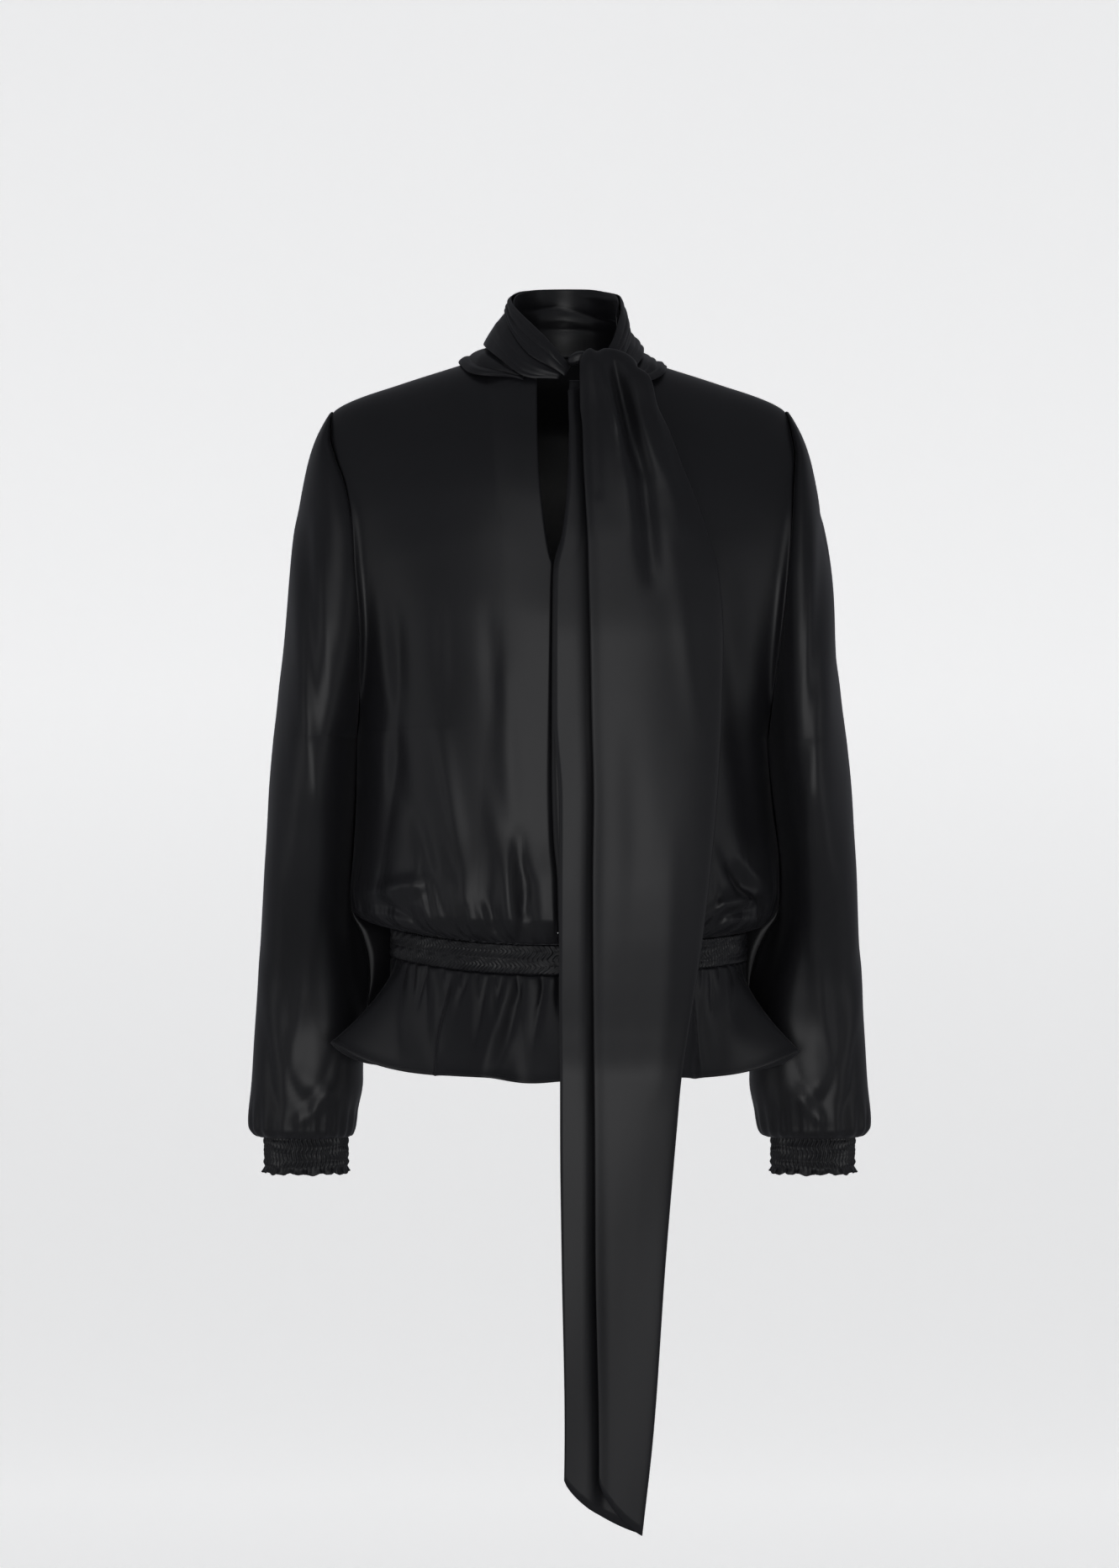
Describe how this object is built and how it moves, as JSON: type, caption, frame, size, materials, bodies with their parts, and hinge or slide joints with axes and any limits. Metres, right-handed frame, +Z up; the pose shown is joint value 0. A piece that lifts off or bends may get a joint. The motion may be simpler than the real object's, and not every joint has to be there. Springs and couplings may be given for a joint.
{
  "type": "tie-neck blouse, worn form",
  "caption": "Hollow worn blouse with a keyhole front, scarf collar with a long folded end, full sleeves with smocked cuffs, smocked waist and fluted peplum.",
  "frame": {"origin": "midway between the shoulders, level with the base of the neck, where the wearer's shoulders hold the blouse", "axes": "+Z up, -Y is the front of the blouse, -X is the wearer's right"},
  "size_m": [0.5547, 0.3058, 1.0914],
  "materials": {
    "satin": "black silk satin, smooth, with a soft sheen",
    "smocking": "black silk satin drawn into fine ridges by rows of elastic stitching"
  },
  "bodies": {
    "root": {"front_right": "satin", "front_left": "satin", "back": "satin", "sleeve_right": "satin", "sleeve_left": "satin", "cuff_right": "smocking", "cuff_left": "smocking", "waistband": "smocking", "peplum": "satin", "collar_stand": "satin", "wrap_upper": "satin", "wrap_lower": "satin", "drape": "satin", "knot": "satin", "sash": "satin"}
  },
  "joints": []
}
